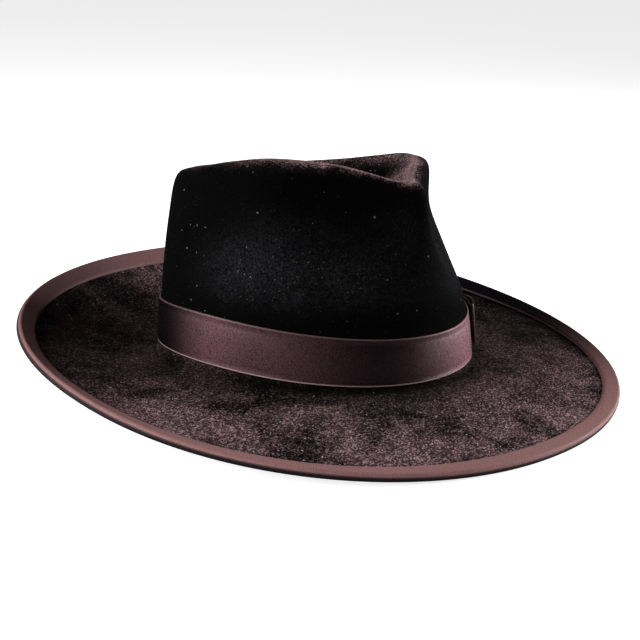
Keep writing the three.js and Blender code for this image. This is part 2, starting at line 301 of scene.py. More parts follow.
def smoothPiece(name, points, faces):
    mesh = bpy.data.meshes.new(name)
    mesh.from_pydata(points.tolist(), [], faces)
    mesh.update()
    mesh.polygons.foreach_set("use_smooth", np.ones(len(mesh.polygons), bool))
    piece = bpy.data.objects.new(name, mesh)
    bpy.context.scene.collection.objects.link(piece)
    return piece


# Mesh over a stack of rings. Without tips the last ring joins the first, else the ends close on them.
def skin(name, rings, tips=None):
    count, around = rings.shape[:2]
    points = rings.reshape(-1, 3)
    rows = np.arange(count if tips is None else count - 1)[:, None]
    columns = np.arange(around)[None, :]
    nextRow, nextColumn = (rows + 1) % count, (columns + 1) % around
    corners = [rows * around + columns, nextRow * around + columns,
               nextRow * around + nextColumn, rows * around + nextColumn]
    faces = np.stack(corners, axis=-1).reshape(-1, 4).tolist()
    if tips is not None:
        first, base = len(points), (count - 1) * around
        points = np.vstack([points, tips])
        faces += [[first, j, (j + 1) % around] for j in range(around)]
        faces += [[first + 1, base + (j + 1) % around, base + j] for j in range(around)]
    return smoothPiece(name, points, faces)


# Distance along a closed ring from its first point to each point
def alongRing(ring):
    lengths = np.linalg.norm(np.roll(ring, -1, axis=0) - ring, axis=1)
    return np.concatenate([[0], np.cumsum(lengths)[:-1]])


# Distance along an open line to each point
def alongLine(x, y):
    return np.concatenate([[0], np.cumsum(np.hypot(np.diff(x), np.diff(y)))])


# Gives each point of a piece a value that its material reads
def setValue(piece, name, values):
    attribute = piece.data.attributes.new(name, "FLOAT", "POINT")
    padded = np.zeros(len(piece.data.vertices), np.float32)
    flat = np.asarray(values, np.float32).reshape(-1)
    padded[:len(flat)] = flat
    attribute.data.foreach_set("value", padded)


def joinFrame(piece, node, material):
    piece.data.materials.append(material)
    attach(piece, "root")
    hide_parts(node)
    return piece


# Node helpers
def addNode(tree, kind, inputs=None, **settings):
    node = tree.nodes.new(kind)
    for key, value in settings.items():
        setattr(node, key, value)
    for key, value in (inputs or {}).items():
        if isinstance(value, bpy.types.NodeSocket):
            tree.links.new(value, node.inputs[key])
        else:
            node.inputs[key].default_value = value
    return node


def calc(tree, operation, a, b=0.0, c=0.0):
    return addNode(tree, "ShaderNodeMath", {0: a, 1: b, 2: c}, operation=operation).outputs[0]


def calcVector(tree, operation, inputs):
    return addNode(tree, "ShaderNodeVectorMath", inputs, operation=operation).outputs[0]


def remap(tree, value, low, high, toLow=0.0, toHigh=1.0):
    node = addNode(tree, "ShaderNodeMapRange", {"Value": value, "From Min": low, "From Max": high,
                                                "To Min": toLow, "To Max": toHigh})
    return node.outputs["Result"]


def noise(tree, vector, scale, detail=2.0, roughness=0.5, distortion=0.0):
    node = addNode(tree, "ShaderNodeTexNoise", {"Vector": vector, "Scale": scale, "Detail": detail,
                                                "Roughness": roughness, "Distortion": distortion})
    return node.outputs["Fac"]


def mixColor(tree, share, a, b):
    node = addNode(tree, "ShaderNodeMix", {"Factor": share}, data_type="RGBA")
    for key, value in ((6, a), (7, b)):
        if isinstance(value, bpy.types.NodeSocket):
            tree.links.new(value, node.inputs[key])
        else:
            node.inputs[key].default_value = (*value, 1)
    return node.outputs[2]


def newGroup(name, inputs, outputs):
    tree = bpy.data.node_groups.new(name, "ShaderNodeTree")
    for label, kind, value in inputs:
        socket = tree.interface.new_socket(label, in_out="INPUT", socket_type=kind)
        socket.default_value = value
    for label, kind in outputs:
        tree.interface.new_socket(label, in_out="OUTPUT", socket_type=kind)
    return tree, tree.nodes.new("NodeGroupInput").outputs, tree.nodes.new("NodeGroupOutput").inputs


def useGroup(tree, group, inputs):
    node = tree.nodes.new("ShaderNodeGroup")
    node.node_tree = group
    for key, value in inputs.items():
        if isinstance(value, bpy.types.NodeSocket):
            tree.links.new(value, node.inputs[key])
        else:
            node.inputs[key].default_value = value
    return node.outputs


def newMaterial(name):
    material = bpy.data.materials.new(name)
    material.use_nodes = True
    tree = material.node_tree
    return material, tree, tree.nodes["Principled BSDF"]


def attributeValue(tree, name):
    return addNode(tree, "ShaderNodeAttribute", attribute_name=name).outputs["Fac"]


def objectPlace(tree):
    return tree.nodes.new("ShaderNodeTexCoord").outputs["Object"]


# Lint: small bright dots of many sizes that cling to felt, bent a little out of round
def lintGroup():
    tree, given, result = newGroup("lint", [
        ("Vector", "NodeSocketVector", (0, 0, 0)),
        ("Crowding", "NodeSocketFloat", 150.0),
        ("Size", "NodeSocketFloat", 0.0003),
    ], [("Mask", "NodeSocketFloat")])
    bendScale, bendReach = 900.0, 0.0014
    bend = addNode(tree, "ShaderNodeTexNoise", {"Vector": given["Vector"], "Scale": bendScale,
                                                "Detail": 1.0})
    offset = calcVector(tree, "SUBTRACT", {0: bend.outputs["Color"], 1: (0.5, 0.5, 0.5)})
    offset = calcVector(tree, "SCALE", {0: offset, "Scale": bendReach})
    bent = calcVector(tree, "ADD", {0: given["Vector"], 1: offset})
    cells = addNode(tree, "ShaderNodeTexVoronoi", {"Vector": bent, "Scale": given["Crowding"]})
    chance = addNode(tree, "ShaderNodeSeparateColor", {"Color": cells.outputs["Color"]}).outputs[0]
    reach = calc(tree, "MULTIPLY", calc(tree, "MULTIPLY", given["Size"], given["Crowding"]), chance)
    far = calc(tree, "DIVIDE", cells.outputs["Distance"], reach)
    tree.links.new(remap(tree, far, 1.0, 0.5), result["Mask"])
    return tree


# Nap of felt: blotches where it was handled, matted fibres and lighter flecks
def napGroup():
    tree, given, result = newGroup("nap", [
        ("Vector", "NodeSocketVector", (0, 0, 0)),
        ("Grain", "NodeSocketFloat", 900.0),
        ("Blotch", "NodeSocketFloat", 35.0),
    ], [("Grain", "NodeSocketFloat"), ("Fleck", "NodeSocketFloat"), ("Blotch", "NodeSocketFloat"),
        ("Height", "NodeSocketFloat")])
    where = given["Vector"]
    fineShare, fibreScale, fibreShare = 0.55, 0.36, 0.45
    fine = noise(tree, where, given["Grain"], detail=2.0, roughness=0.6, distortion=0.5)
    coarse = calc(tree, "MULTIPLY", given["Grain"], fibreScale)
    fibres = noise(tree, where, coarse, detail=4.0, roughness=0.72, distortion=1.4)
    blotch = noise(tree, where, given["Blotch"], detail=4.0, roughness=0.6, distortion=0.5)
    fine = calc(tree, "MULTIPLY", fine, fineShare)
    grain = calc(tree, "ADD", fine, calc(tree, "MULTIPLY", fibres, fibreShare))
    tree.links.new(remap(tree, grain, 0.38, 0.62), result["Grain"])
    tree.links.new(remap(tree, grain, 0.51, 0.6), result["Fleck"])
    tree.links.new(remap(tree, blotch, 0.38, 0.62), result["Blotch"])
    tree.links.new(grain, result["Height"])
    return tree


# Weave of a ribbed ribbon: ribs across its length, fine weft along it, uneven sheen
def weaveGroup():
    tree, given, result = newGroup("weave", [
        ("Along", "NodeSocketFloat", 0.0),
        ("Across", "NodeSocketFloat", 0.0),
        ("Rib", "NodeSocketFloat", 0.0009),
        ("Vector", "NodeSocketVector", (0, 0, 0)),
    ], [("Rib", "NodeSocketFloat"), ("Uneven", "NodeSocketFloat"), ("Height", "NodeSocketFloat")])
    wanderScale, wanderReach = 60.0, 3.0
    weftStep, weftShare, streakShare = 0.0006, 0.12, 0.5
    streakScale = (1600.0, 500.0, 0.0)
    turns = calc(tree, "DIVIDE", given["Along"], given["Rib"])
    wander = calc(tree, "MULTIPLY", noise(tree, given["Vector"], wanderScale), wanderReach)
    phase = calc(tree, "ADD", calc(tree, "MULTIPLY", turns, 2 * math.pi), wander)
    rib = calc(tree, "MULTIPLY_ADD", calc(tree, "SINE", phase), 0.5, 0.5)
    weft = calc(tree, "SINE", calc(tree, "MULTIPLY", given["Across"], 2 * math.pi / weftStep))
    flat = addNode(tree, "ShaderNodeCombineXYZ", {"X": given["Along"], "Y": given["Across"]}).outputs[0]
    stretched = calcVector(tree, "MULTIPLY", {0: flat, 1: streakScale})
    streak = noise(tree, stretched, 1.0, detail=3.0, roughness=0.6)
    height = calc(tree, "MULTIPLY_ADD", weft, weftShare, rib)
    tree.links.new(rib, result["Rib"])
    tree.links.new(remap(tree, streak, 0.35, 0.65), result["Uneven"])
    tree.links.new(calc(tree, "MULTIPLY_ADD", streak, streakShare, height), result["Height"])
    return tree


# Felt body: rows of its mesh, colours, and how grain, a painted haze of light, wear with painted light and
# shade, and lint lie on it
felt = {
    "around": 420,
    "creaseRows": 34,
    "creaseStart": 0.02,
    "wallRows": 50,
    "wallCrowding": 1.15,
    "breakRows": 6,
    "brimRows": 34,
    "wave": 0.0004,
    "crownColor": (0.0012, 0.0012, 0.0013),
    # painted light: a pale haze for the light that falls on the crown's walls
    "crownHazeLight": (0.021, 0.0205, 0.0225),
    "brimColor": (0.007, 0.0055, 0.006),
    # brighter brim colour: wear with painted light
    "wornLitColor": (0.2, 0.122, 0.128),
    "fleckColor": (0.56, 0.35, 0.36),
    "lintColor": (0.75, 0.66, 0.67),
    "grain": 950.0,
    "blotch": 30.0,
    "lintCrowding": 170.0,
    "lintSize": 0.0007,
    "dotCrowding": 500.0,
    "dotSize": 0.00052,
    "lintOnClean": 0.2,
    "lintOnWornAndLit": 0.8,
    "dotsOnClean": 0.015,
    "dotsOnWornAndLit": 0.75,
    "dotsInHaze": 0.1,
    "darkGrain": 0.75,
    "fleckShare": 0.85,
    "fleckByBlotch": (0.3, 1.1),
    # painted highlight on the ridges and the nose, towards the fleck colour
    "ridgeNoseHighlight": 0.6,
    "napHeight": 0.0013,
    "napStrength": 0.9,
    "gleam": 0.02,
    "hazeByBlotch": (0.55, 1.0),
    "hazeByGrain": (0.15, 1.6),
    "hazeHeight": 0.57,
    "hazeReach": 0.21,
    "hazeAt": 49.0,
    "hazeAround": 44.0,
    # painted shade: how far the dents take the haze away
    "dentShade": 0.95,
    "dentMost": 0.95,
    # ridges: wear with a painted highlight
    "ridgeWearAndHighlight": 1.5,
    "ridgeReach": 0.09,
    "leastWear": 0.16,
    # painted shade on the brim by the crown's foot
    "shadeByCrown": -0.15,
    "wearRise": 0.9,
}

# Patches round the crown: degrees from the front, reach in degrees, how sharply it ends and how much.
# Along the ridges it is wear with a painted highlight; on the nose it is a painted highlight.
ridgePatch = {"at": "front of the ridges", "direction": 0, "reach": 75, "power": 4, "amount": 0.6}
noseHighlightPatch = {"at": "nose", "direction": 0, "reach": 48, "power": 4, "amount": 1.4}

# Wear and painted light on the brim, in the same words: wear with painted light at the front, painted
# light at the back, and painted shadows of the crown at the right back and at the left
brimWearAndLightPatches = [
    {"at": "front", "direction": -27, "reach": 66, "power": 4, "amount": 1},
    {"at": "back", "direction": 180, "reach": 18, "power": 2, "amount": 0.2},
    {"at": "right back, less", "direction": -140, "reach": 36, "power": 2, "amount": -0.16},
    {"at": "left, less", "direction": 78, "reach": 32, "power": 2, "amount": -0.12},
]


def feltMaterial(nap, lint):
    material, tree, shader = newMaterial("brown felt")
    where = objectPlace(tree)
    wearAndLight = attributeValue(tree, "wearAndLight")
    grain = useGroup(tree, nap, {"Vector": where, "Grain": felt["grain"], "Blotch": felt["blotch"]})
    spots = useGroup(tree, lint, {"Vector": where, "Crowding": felt["lintCrowding"],
                                  "Size": felt["lintSize"]})["Mask"]
    dots = useGroup(tree, lint, {"Vector": where, "Crowding": felt["dotCrowding"],
                                 "Size": felt["dotSize"]})["Mask"]
    # Painted light on the crown's walls, broken by grain, with painted shade in the dents
    hazeShare = attributeValue(tree, "paintedHaze")
    byBlotch = remap(tree, grain["Blotch"], 0.0, 1.0, *felt["hazeByBlotch"])
    byGrain = remap(tree, grain["Grain"], 0.0, 1.0, *felt["hazeByGrain"])
    paintedHaze = calc(tree, "MULTIPLY", calc(tree, "MULTIPLY", hazeShare, byBlotch), byGrain)
    crownTone = mixColor(tree, paintedHaze, felt["crownColor"], felt["crownHazeLight"])
    # Brim and ridge colour: wear with painted light, painted crown shadows and painted shade by the
    # crown's foot; ridges and nose go on to a painted highlight
    wornLit = mixColor(tree, grain["Blotch"], felt["brimColor"], felt["wornLitColor"])
    wornLit = mixColor(tree, remap(tree, wearAndLight, 1.0, 2.0, 0.0, felt["ridgeNoseHighlight"]), wornLit, felt["fleckColor"])
    tone = mixColor(tree, remap(tree, wearAndLight, 0.0, 1.0), crownTone, wornLit)
    dark = remap(tree, grain["Grain"], 0.0, 1.0, felt["darkGrain"], 0.0)
    tone = mixColor(tree, dark, tone, felt["crownColor"])
    flecks = calc(tree, "MULTIPLY", grain["Fleck"],
                  remap(tree, grain["Blotch"], 0.0, 1.0, *felt["fleckByBlotch"]))
    flecks = calc(tree, "MULTIPLY", flecks, remap(tree, wearAndLight, 0.0, 0.6, 0.0, felt["fleckShare"]))
    tone = mixColor(tree, flecks, tone, felt["fleckColor"])
    small = remap(tree, wearAndLight, 0.0, 0.5, felt["dotsOnClean"], felt["dotsOnWornAndLit"])
    large = remap(tree, wearAndLight, 0.0, 0.4, felt["lintOnClean"], felt["lintOnWornAndLit"])
    small, large = calc(tree, "MULTIPLY", dots, small), calc(tree, "MULTIPLY", spots, large)
    hazeDots = calc(tree, "MULTIPLY", calc(tree, "MULTIPLY", dots, hazeShare), felt["dotsInHaze"])
    specks = calc(tree, "MAXIMUM", calc(tree, "MAXIMUM", large, small), hazeDots)
    tree.links.new(mixColor(tree, specks, tone, felt["lintColor"]), shader.inputs["Base Color"])
    bump = addNode(tree, "ShaderNodeBump", {"Height": grain["Height"], "Strength": felt["napStrength"],
                                            "Distance": felt["napHeight"]})
    tree.links.new(bump.outputs[0], shader.inputs["Normal"])
    shader.inputs["Roughness"].default_value = 1.0
    shader.inputs["Specular IOR Level"].default_value = felt["gleam"]
    return material


# What binding and satin have alike
ribbon = {
    "streakShare": 0.6,
    "mottleScale": 1100.0,
    "ribStrength": 0.4,
    "ribHeight": 0.0001,
}


# Ribbon: ribbed, with dark mottling and a painted highlight along its woven edges. Where its lit share is
# low it takes the unlit colour: on the satin the lit share is a painted highlight, on the binding its lack
# is painted shade on the underside and in the crown's shadow.
def ribbonMaterial(name, weave, look):
    material, tree, shader = newMaterial(name)
    cloth = useGroup(tree, weave, {"Along": attributeValue(tree, "along"), "Rib": look["rib"],
                                   "Across": attributeValue(tree, "across"), "Vector": objectPlace(tree)})
    tone = mixColor(tree, cloth["Rib"], look["grooveColor"], look["color"])
    streaks = remap(tree, cloth["Uneven"], 0.0, 1.0, 0.0, ribbon["streakShare"])
    shade = mixColor(tree, streaks, tone, look["grooveColor"])
    # Painted light and shade: the lit share mixes the unlit colour with the ribbon's tone
    shade = mixColor(tree, attributeValue(tree, "litShare"), look["unlitColor"], shade)
    spots = noise(tree, objectPlace(tree), ribbon["mottleScale"], detail=2.0, roughness=0.7)
    spots = remap(tree, spots, 0.45, 0.65, 0.0, look["mottle"])
    shade = mixColor(tree, spots, shade, look["unlitColor"])
    # Painted highlight along the woven edges
    shade = mixColor(tree, attributeValue(tree, "edge"), shade, look["edgeHighlightColor"])
    tree.links.new(shade, shader.inputs["Base Color"])
    tree.links.new(remap(tree, cloth["Uneven"], 0.0, 1.0, *look["roughness"]), shader.inputs["Roughness"])
    bump = addNode(tree, "ShaderNodeBump", {"Height": cloth["Height"], "Strength": ribbon["ribStrength"],
                                            "Distance": ribbon["ribHeight"]})
    tree.links.new(bump.outputs[0], shader.inputs["Normal"])
    shader.inputs["Specular IOR Level"].default_value = look["gleam"]
    shader.inputs["Specular Tint"].default_value = (*look["gleamColor"], 1)
    return material


def ringAngles(count):
    return np.linspace(0, 2 * math.pi, count, endpoint=False)


def feltRings():
    angle = ringAngles(felt["around"])
    ridgeRow = len(crownSections) - 1.0
    full = np.ones_like(angle)
    creaseShares = np.linspace(felt["creaseStart"], 1, felt["creaseRows"], endpoint=False)
    wallShares = np.linspace(0, 1, felt["wallRows"]) ** felt["wallCrowding"]
    brimShares = np.linspace(0, 1, felt["brimRows"])
    crease = [dented(creasePoint(angle, share)) for share in creaseShares]
    wall = [dented(wallPoint(angle, full * ridgeRow * (1 - share))) for share in wallShares]
    turn = [breakPoint(angle, share) for share in np.linspace(1, 0, felt["breakRows"])[1:-1]]
    width = edgeRadiusAt(angle) - breakRadiusAt(angle)
    brim = [brimPoint(angle, width * (1 - share)) for share in brimShares]
    return np.array(crease + wall + turn + brim), feltWearAndLight(angle, creaseShares, wallShares, brimShares)


# Degrees between an angle and a direction round the hat
def degreesFrom(angle, direction):
    turn = angle - math.radians(direction)
    return np.degrees(np.arctan2(np.sin(turn), np.cos(turn)))


# Strength of one patch of wear round the hat
def patchShare(angle, patch):
    away = degreesFrom(angle, patch["direction"]) / patch["reach"]
    return patch["amount"] * np.exp(-away ** patch["power"])


def patchSum(angle, patches):
    return sum(patchShare(angle, patch) for patch in patches)


def nearRidge(share):
    return math.exp(-(share / felt["ridgeReach"]) ** 2)


# Wear and painted light on the felt: wear with a painted highlight along the ridges, a painted highlight
# on the nose, and on the brim wear with painted light towards its edge, painted crown shadows, and painted
# shade by the crown's foot
def feltWearAndLight(angle, creaseShares, wallShares, brimShares):
    ridge = felt["ridgeWearAndHighlight"] * (1 - ridgePatch["amount"] + patchShare(angle, ridgePatch))
    nose = patchShare(angle, noseHighlightPatch)
    brim = (1 - felt["leastWear"]) * patchSum(angle, brimWearAndLightPatches)
    rows = [ridge * nearRidge(1 - share) + nose * smooth(share) for share in creaseShares]
    rows += [(ridge + nose) * nearRidge(share) for share in wallShares]
    rows += [felt["leastWear"] + felt["shadeByCrown"] * brim] * (felt["breakRows"] - 2)
    for share in brimShares:
        rows.append(felt["leastWear"] + mix(felt["shadeByCrown"], 1.0, share ** felt["wearRise"]) * brim)
    return np.clip(rows, 0, 2)


# Painted light: a haze on the middle of the walls, right and left of the front, taken out of the dents as
# painted shade
def feltPaintedHaze(points):
    height = points[..., 2] / shape["crownHeight"]
    angle = np.arctan2(points[..., 0], -points[..., 1])
    paintedHaze = np.exp(-((height - felt["hazeHeight"]) / felt["hazeReach"]) ** 4)
    paintedHaze = paintedHaze * np.exp(-((np.degrees(np.abs(angle)) - felt["hazeAt"]) / felt["hazeAround"]) ** 4)
    for dent in dents:
        for hand in (-1, 1):
            shade = np.minimum(1, dentShare(points, dent, hand) * felt["dentShade"])
            paintedHaze = paintedHaze * (1 - felt["dentMost"] * shade)
    return paintedHaze


def makeFelt(material):
    upper, wearAndLight = feltRings()
    paintedHaze = feltPaintedHaze(upper)
    normals = ringNormals(upper)
    lower = (upper - normals * shape["feltWall"])[::-2]
    tip = dented(creasePoint(np.zeros(1), 0.0))[0]
    tips = np.array([tip, tip - (0, 0, shape["feltWall"])])
    rings = np.concatenate([upper, lower])
    piece = skin("felt", atRest(rings), tips=atRest(tips))
    setValue(piece, "wearAndLight", np.concatenate([wearAndLight, wearAndLight[::-2]]))
    setValue(piece, "paintedHaze", np.concatenate([paintedHaze, paintedHaze[::-2]]))
    return joinFrame(piece, "felt_body", material)


# Ribbon folded round the brim's edge
binding = {
    "around": 900,
    "legRows": 7,
    "turnRows": 9,
    "insideRows": 5,
    "width": 0.0085,
    "thickness": 0.001,
    "rib": 0.0008,
    "swell": 0.00025,
    "edgeRound": 0.75,
    "edgeShare": 1 / 6,
    "selvage": 0.07,
    # painted shade on the binding's underside: where it starts and how soft it is
    "underShadeFrom": -0.0001,
    "underShadeOver": 0.0004,
    "color": (0.4, 0.212, 0.203),
    "grooveColor": (0.25, 0.128, 0.122),
    # painted shade: colour of the binding's underside and of the crown's shadow on it
    "unlitColor": (0.008, 0.006, 0.009),
    "edgeHighlightColor": (0.3, 0.18, 0.175),
    "roughness": (0.48, 0.55),
    "gleam": 0.08,
    "gleamColor": (1.0, 0.8, 0.8),
    "mottle": 0.26,
}

# Where the binding is darker, in the same words as the brim's wear: at the left a painted shadow of the
# crown, at the right back only darker
darkPatches = [
    {"at": "left", "direction": 88, "reach": 40, "power": 4, "amount": 1},
    {"at": "right back", "direction": -160, "reach": 38, "power": 2, "amount": 0.6},
]


# Profile of the folded ribbon: distance in from the felt's edge, height off its middle, place across it
def bindingProfile():
    leg, gap, thick = binding["width"], shape["clearance"], binding["thickness"]
    half = shape["feltWall"] / 2
    outer, inner = half + gap + thick, half + gap
    turnPlace = leg + 0.002
    upper, under, insideUnder, insideUpper = [], [], [], []
    for share in np.linspace(0, 1, binding["legRows"]):
        rounding = thick * binding["edgeRound"] * (1 - np.sqrt(min(1, share / binding["edgeShare"])))
        face = outer + binding["swell"] * np.sin(math.pi * share) - rounding
        upper.append((leg * (1 - share), face, share * leg))
        under.insert(0, (leg * (1 - share), -face, share * leg))
    turn = []
    for angle in np.radians(np.linspace(75, -75, binding["turnRows"])):
        turn.append((-(gap + thick) * math.cos(angle), outer * math.sin(angle), turnPlace))
    for share in np.linspace(0.03, 1, binding["insideRows"]):
        insideUnder.append((leg * (1 - share), -inner, 0))
        insideUpper.insert(0, (leg * (1 - share), inner, 0))
    fold = [(-gap, -inner * 0.8, 0), (-gap, inner * 0.8, 0)]
    return upper + turn + under + insideUnder + fold + insideUpper


def bindingRings():
    angle = ringAngles(binding["around"])
    half = shape["feltWall"] / 2
    step = 0.001

    def top(distance):
        return brimPoint(angle, np.full_like(angle, distance))

    edge = top(0.0)
    inward = unit(top(step) - edge)
    along = np.roll(edge, -1, axis=0) - np.roll(edge, 1, axis=0)
    normal = unit(np.cross(along, inward))
    normal = np.where(normal[:, 2:] < 0, -normal, normal)
    rings, across, litShare, border = [], [], [], []
    for distance, out, acrossAt in bindingProfile():
        face = top(distance) if distance >= 0 else edge + inward * distance
        rings.append(face + normal * (out - half))
        across.append(acrossAt)
        # Painted shade: the binding darkens below a height on its fold, for its underside
        litShare.append(smooth(min(1, max(0, (out - binding["underShadeFrom"]) / binding["underShadeOver"]))))
        # Painted highlight along the binding's inner edge
        onEdge = out > half and distance > binding["width"] * (1 - binding["selvage"])
        border.append(1.0 if onEdge else 0.0)
    return np.array(rings), alongRing(edge), np.array(across), np.array(litShare), np.array(border)


def makeBinding(material):
    rings, along, across, litShare, border = bindingRings()
    piece = skin("binding", atRest(rings))
    setValue(piece, "along", np.tile(along, len(rings)))
    setValue(piece, "across", np.repeat(across, len(along)))
    angle = ringAngles(binding["around"])
    # Painted shadow of the crown at the left, and darker at the right back
    pale = np.prod([1 - patchShare(angle, patch) for patch in darkPatches], axis=0)
    setValue(piece, "litShare", litShare[:, None] * pale[None, :])
    setValue(piece, "edge", np.repeat(border, len(along)))
    return joinFrame(piece, "brim_binding", material)


# Satin band round the foot of the crown
band = {
    "around": 720,
    "rows": [0.15, 0.3, 0.5, 0.7, 0.85],
    "frontHeight": 0.026,
    "sideHeight": 0.0286,
    "backHeight": 0.0256,
    "thickness": 0.001,
    "selvage": 0.0011,
    "edgeRound": 0.55,
    "edgeShare": 0.35,
    "grooveDepth": 0.00022,
    "grooveFrom": 1.1,
    "grooveTo": 2.0,
    "swell": 0.0003,
    "topEdgeHighlight": 0.18,
    "footEdgeHighlight": 1.0,
    "rib": 0.0009,
    # On the band this colour and the groove colour show where the painted highlights lie; elsewhere the
    # dark unlit colour shows
    "color": (0.36, 0.175, 0.21),
    "grooveColor": (0.23, 0.11, 0.13),
    "unlitColor": (0.002, 0.0022, 0.0025),
    "edgeHighlightColor": (0.42, 0.28, 0.27),
    "roughness": (0.22, 0.29),
    "gleam": 0.14,
    "gleamColor": (1.0, 0.58, 0.68),
    "mottle": 0.75,
}

# Painted highlights of the satin's sheen round the band, in the same words as the brim's wear
satinHighlightPatches = [
    {"at": "right", "direction": -85, "reach": 17, "power": 2, "amount": 0.38},
    {"at": "right front", "direction": -53, "reach": 22, "power": 2, "amount": 0.2},
    {"at": "front", "direction": 20, "reach": 20, "power": 2, "amount": 1},
    {"at": "left", "direction": 110, "reach": 35, "power": 2, "amount": 0.25},
]


def bandFaces(angle):
    foot = wallPoint(angle, np.zeros_like(angle))
    height = aroundHeight(angle, band["frontHeight"], band["sideHeight"], band["backHeight"])
    top = dented(wallPoint(angle, rowAtHeight(angle, height)))
    rise = unit(top - foot)
    ahead = wallPoint(angle + 0.001, np.zeros_like(angle)) - foot
    out = unit(np.cross(unit(ahead), rise))
    return foot, top, out


# The band's rows run from its top to its foot, with rounded edges and a groove inside each selvage
def makeBand(material):
    angle = ringAngles(band["around"])
    foot, top, out = bandFaces(angle)
    inner, thick = shape["clearance"], band["thickness"]
    rings, across, border = [], [], []
    selvage = band["selvage"] / band["sideHeight"]
    nearTop = [1 - selvage * part for part in (1.4, 1, 0.3, 0)]
    nearFoot = [selvage * part for part in (0, 0.3, 0.6, 0.95, 1.4)]
    for share in reversed(nearFoot + band["rows"] + nearTop):
        toEdge = min(share, 1 - share) / selvage
        rounding = band["edgeRound"] * thick * (1 - math.sqrt(min(1, toEdge / band["edgeShare"])))
        groove = band["grooveDepth"] if band["grooveFrom"] < toEdge < band["grooveTo"] else 0
        swell = band["swell"] * math.sin(math.pi * share)
        rings.append(mix(foot, top, share) + out * (inner + thick - rounding - groove + swell))
        across.append(share * band["sideHeight"])
        # Painted highlight along the selvages, strongest at the foot
        pale = band["footEdgeHighlight"] if share < 0.5 else band["topEdgeHighlight"]
        border.append(0.0 if toEdge > 0.9 else pale)
    rings.append(foot + out * inner)
    rings.append(top + out * inner)
    across += [0, band["sideHeight"]]
    border += [0, 0]
    along = alongRing(foot)
    piece = skin("band", atRest(np.array(rings)))
    setValue(piece, "along", np.tile(along, len(rings)))
    setValue(piece, "across", np.repeat(np.array(across), len(along)))
    # Painted highlights of the satin's sheen
    setValue(piece, "litShare", np.tile(np.clip(patchSum(angle, satinHighlightPatches), 0, 1), len(rings)))
    setValue(piece, "edge", np.repeat(np.array(border), len(along)))
    return joinFrame(piece, "hat_band", material)


# Flat bow that closes the band: one ribbon folded into two loops, a knot over it and a tail beneath
bow = {
    "angle": 65.0,
    "length": 0.092,
    "height": 0.0255,
    "puff": 0.0042,
    "knotWidth": 0.013,
    "thickness": 0.0009,
    "tailLength": 0.058,
    "tailNotch": 0.009,
    "tailCurl": 0.0007,
    "tailCurlFrom": 0.7,
    "knotGather": 0.84,
    "knotBend": 0.0011,
    "knotWaist": 0.1,
    "knotPleat": 0.00035,
    "knotPleats": 2.5,
    "knotSwell": 0.0005,
    "loopSwell": 0.85,
    "pleat": 0.0004,
    "pleatReach": 0.016,
    "edgeHighlight": 0.08,
    "litShare": 0.1,
    "selvage": 0.02,
    "columns": 19,
    "steps": 44,
}

# Pleats across the bow's ribbon
bowPleats = [
    {"count": 2.5, "phase": 0.6, "share": 1},
    {"count": 4, "phase": 2.0, "share": 0.5},
]


# Angle at a distance round the foot from the middle of the bow
def angleAlong(distance):
    angle = np.full_like(distance, math.radians(bow["angle"]))
    turn, steps = 0.001, 30
    for _ in range(steps):
        step = wallPoint(angle + turn, 0.0 * angle) - wallPoint(angle, 0.0 * angle)
        angle = angle + distance / steps * turn / np.linalg.norm(step[..., :2], axis=-1)
    return angle


# Point over the band's face, given out of it, along it towards the back and up it
def overBand(out, along, up):
    out, along, up = np.broadcast_arrays(out, along, up)
    foot, top, away = bandFaces(angleAlong(along))
    base = foot + unit(top - foot) * up[..., None]
    return base + away * (shape["clearance"] + band["thickness"] + out)[..., None]


# Ribbon between a front and a back face of equal rows and columns, closed all round its border
def slab(name, front, back):
    rows, columns = front.shape[:2]
    number = np.arange(rows * columns).reshape(rows, columns)
    corners = [number[:-1, :-1], number[1:, :-1], number[1:, 1:], number[:-1, 1:]]
    quads = np.stack(corners, axis=-1).reshape(-1, 4)
    faces = quads.tolist() + (quads[:, ::-1] + number.size).tolist()
    border = [*number[:-1, 0], *number[-1, :-1], *number[:0:-1, -1], *number[0, :0:-1]]
    for k, here in enumerate(border):
        ahead = border[(k + 1) % len(border)]
        faces.append([int(here), int(here + number.size), int(ahead + number.size), int(ahead)])
    return smoothPiece(name, np.concatenate([front.reshape(-1, 3), back.reshape(-1, 3)]), faces)


def pastKnot(along, start):
    return np.maximum(0, np.abs(along) - start)


# The bow's ribbon is gathered under the knot and narrower there
def bowUp(along, share):
    free = np.minimum(1, pastKnot(along, bow["knotWidth"]) / (bow["length"] / 4))
    return band["sideHeight"] / 2 + (share - 0.5) * bow["height"] * mix(bow["knotGather"], 1, smooth(free))


def loopThickness(along):
    half = bow["knotWidth"] / 2
    share = pastKnot(along, half) / (bow["length"] / 2 - half)
    least = 2 * bow["thickness"] + shape["clearance"]
    return mix(least, bow["puff"], np.sin(bow["loopSwell"] * math.pi * share) ** 2)


# Soft folds in the ribbon that spread from the knot
def pleats(along, share):
    turn = share * 2 * math.pi
    fold = sum(row["share"] * np.cos(turn * row["count"] + row["phase"]) for row in bowPleats)
    return bow["pleat"] * fold * np.exp(-pastKnot(along, bow["knotWidth"] / 3) / bow["pleatReach"])


def dressRibbon(piece, along, across, border, node, material):
    setValue(piece, "along", np.tile(along.reshape(-1), 2))
    setValue(piece, "across", np.tile(across.reshape(-1), 2))
    setValue(piece, "litShare", np.full(2 * along.size, bow["litShare"]))
    # Painted highlight along the bow's edges, weak
    setValue(piece, "edge", bow["edgeHighlight"] * np.tile(border.reshape(-1), 2))
    return joinFrame(piece, node, material)


def borderOf(share):
    return (np.minimum(share, 1 - share) < bow["selvage"]).astype(float)


